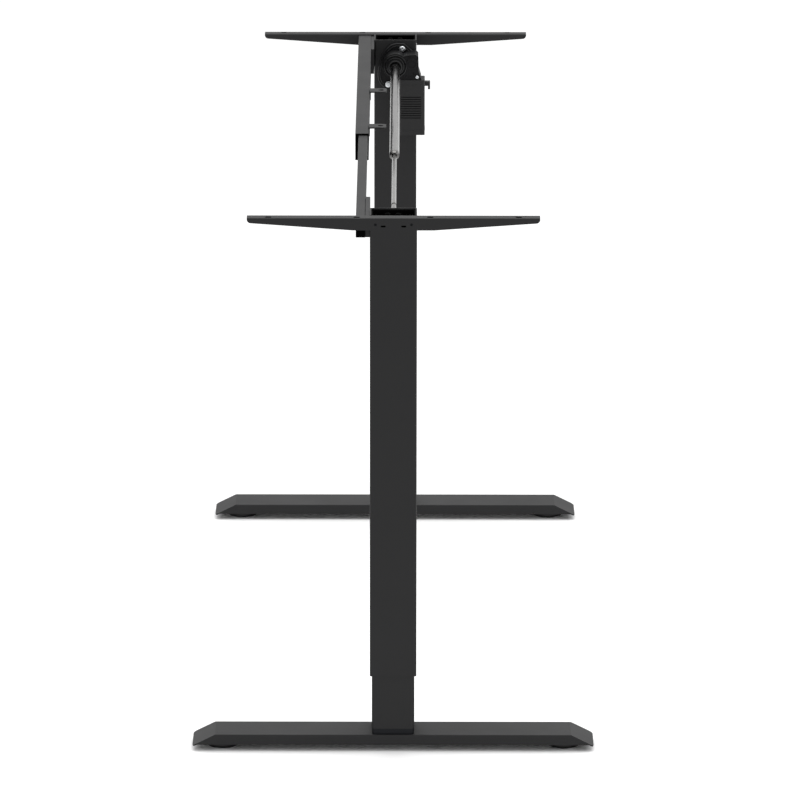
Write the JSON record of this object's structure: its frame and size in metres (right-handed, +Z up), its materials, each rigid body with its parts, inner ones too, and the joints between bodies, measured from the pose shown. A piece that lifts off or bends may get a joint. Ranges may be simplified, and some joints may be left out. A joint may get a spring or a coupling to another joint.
{
  "type": "height adjustable standing desk frame",
  "caption": "Height adjustable standing desk frame with telescoping square legs, flat feet, top brackets, a telescoping cross beam and a motor-driven cross shaft.",
  "frame": {"origin": "on the floor, midway between the two legs and centred along the feet", "axes": "+X from the left leg to the leg with the motor, +Y to the rear where the cross beam is, +Z up"},
  "size_m": [1.409, 0.604, 0.822],
  "materials": {
    "painted_steel": "fine-textured matte black powder coat",
    "chromed_tube": "bright nickel-chrome plated tube",
    "bright_steel": "bright drawn steel bar",
    "zinc_screws": "bright zinc-plated steel",
    "black_screws": "black oxide steel",
    "black_casting": "black painted die casting",
    "gear_steel": "machined steel",
    "nylon": "natural nylon",
    "black_plastic": "moulded black plastic",
    "glide_plastic": "moulded black plastic, slightly glossy"
  },
  "bodies": {
    "left_leg": {"left_foot": "painted_steel", "left_glide_nut_bars": "zinc_screws", "left_base_plate": "black_screws", "left_foot_screws": "zinc_screws", "left_inner_column": "painted_steel", "left_upper_guide": "nylon", "left_screw_nut": "nylon"},
    "left_front_glide": {"left_front_glide": "glide_plastic"},
    "left_rear_glide": {"left_rear_glide": "glide_plastic"},
    "left_frame": {"left_outer_column": "painted_steel", "left_lower_guide": "nylon", "left_gear_housing": "black_casting", "left_gear_cover": "black_plastic", "left_top_bearing": "bright_steel", "left_side_bracket": "painted_steel", "left_bracket_screws": "black_screws", "left_beam_saddle": "painted_steel", "left_saddle_screws": "black_screws", "inner_beam": "painted_steel", "inner_beam_cap": "black_plastic"},
    "left_screw": {"left_lead_screw": "bright_steel", "left_screw_bevel_gear": "gear_steel"},
    "cross_rod": {"hex_rod": "bright_steel", "left_shaft_bevel_gear": "gear_steel"},
    "right_frame": {"right_outer_column": "painted_steel", "right_lower_guide": "nylon", "right_gear_housing": "black_casting", "right_gear_cover": "black_plastic", "right_top_bearing": "bright_steel", "right_side_bracket": "painted_steel", "right_bracket_screws": "black_screws", "right_beam_saddle": "painted_steel", "right_saddle_screws": "black_screws", "outer_beam": "painted_steel", "outer_beam_cap": "black_plastic", "beam_guide_insert": "black_plastic", "width_clamp_screws": "black_screws", "top_tabs": "painted_steel", "gearbox_housing": "black_casting", "gearbox_cover": "black_casting", "gearbox_screws": "zinc_screws", "motor_body": "black_plastic", "motor_socket": "black_plastic"},
    "right_screw": {"right_lead_screw": "bright_steel", "right_screw_bevel_gear": "gear_steel"},
    "cross_tube": {"shaft_tube": "chromed_tube", "stub_shaft": "bright_steel", "worm_wheel": "nylon", "right_shaft_bevel_gear": "gear_steel"},
    "worm_drive": {"worm": "gear_steel"},
    "right_leg": {"right_foot": "painted_steel", "right_glide_nut_bars": "zinc_screws", "right_base_plate": "black_screws", "right_foot_screws": "zinc_screws", "right_inner_column": "painted_steel", "right_upper_guide": "nylon", "right_screw_nut": "nylon"},
    "right_front_glide": {"right_front_glide": "glide_plastic"},
    "right_rear_glide": {"right_rear_glide": "glide_plastic"}
  },
  "joints": [
    {"name": "lift", "type": "slide", "parent": "left_leg", "child": "left_frame", "axis": [0, 0, 1], "range_m": [-0.07, 0.38]},
    {"name": "width", "type": "slide", "parent": "left_frame", "child": "right_frame", "axis": [1, 0, 0], "range_m": [-0.3, 0.1]},
    {"name": "right_leg_slide", "type": "slide", "parent": "right_frame", "child": "right_leg", "axis": [0, 0, -1], "range_m": [-0.07, 0.38]},
    {"name": "left_screw_spin", "type": "hinge", "parent": "left_frame", "child": "left_screw", "pos_m": [-0.6685, 0, 0.5], "axis": [0, 0, 1], "range_deg": [-1580, 8555]},
    {"name": "right_screw_spin", "type": "hinge", "parent": "right_frame", "child": "right_screw", "pos_m": [0.6685, 0, 0.5], "axis": [0, 0, 1], "range_deg": [-8555, 1580]},
    {"name": "cross_rod_spin", "type": "hinge", "parent": "left_frame", "child": "cross_rod", "pos_m": [-0.3, 0, 0.786], "axis": [1, 0, 0], "range_deg": [-1580, 8555]},
    {"name": "cross_tube_spin", "type": "hinge", "parent": "right_frame", "child": "cross_tube", "pos_m": [0.3, 0, 0.786], "axis": [1, 0, 0], "range_deg": [-1580, 8555]},
    {"name": "worm_spin", "type": "hinge", "parent": "right_frame", "child": "worm_drive", "pos_m": [0.615, -0.0234, 0.78], "axis": [0, 0, 1], "range_deg": [-7880, 42755]},
    {"name": "left_front_glide_level", "type": "slide", "parent": "left_leg", "child": "left_front_glide", "axis": [0, 0, -1], "range_m": [0, 0.007]},
    {"name": "left_rear_glide_level", "type": "slide", "parent": "left_leg", "child": "left_rear_glide", "axis": [0, 0, -1], "range_m": [0, 0.007]},
    {"name": "right_front_glide_level", "type": "slide", "parent": "right_leg", "child": "right_front_glide", "axis": [0, 0, -1], "range_m": [0, 0.007]},
    {"name": "right_rear_glide_level", "type": "slide", "parent": "right_leg", "child": "right_rear_glide", "axis": [0, 0, -1], "range_m": [0, 0.007]}
  ],
  "couplings": [
    {"joint": "right_leg_slide", "follows": "lift", "ratio": 1},
    {"joint": "left_screw_spin", "follows": "lift", "rad_per_m": 392.7},
    {"joint": "right_screw_spin", "follows": "lift", "rad_per_m": -392.7},
    {"joint": "cross_rod_spin", "follows": "lift", "rad_per_m": 392.7},
    {"joint": "cross_tube_spin", "follows": "lift", "rad_per_m": 392.7},
    {"joint": "worm_spin", "follows": "lift", "rad_per_m": 1963.5}
  ]
}
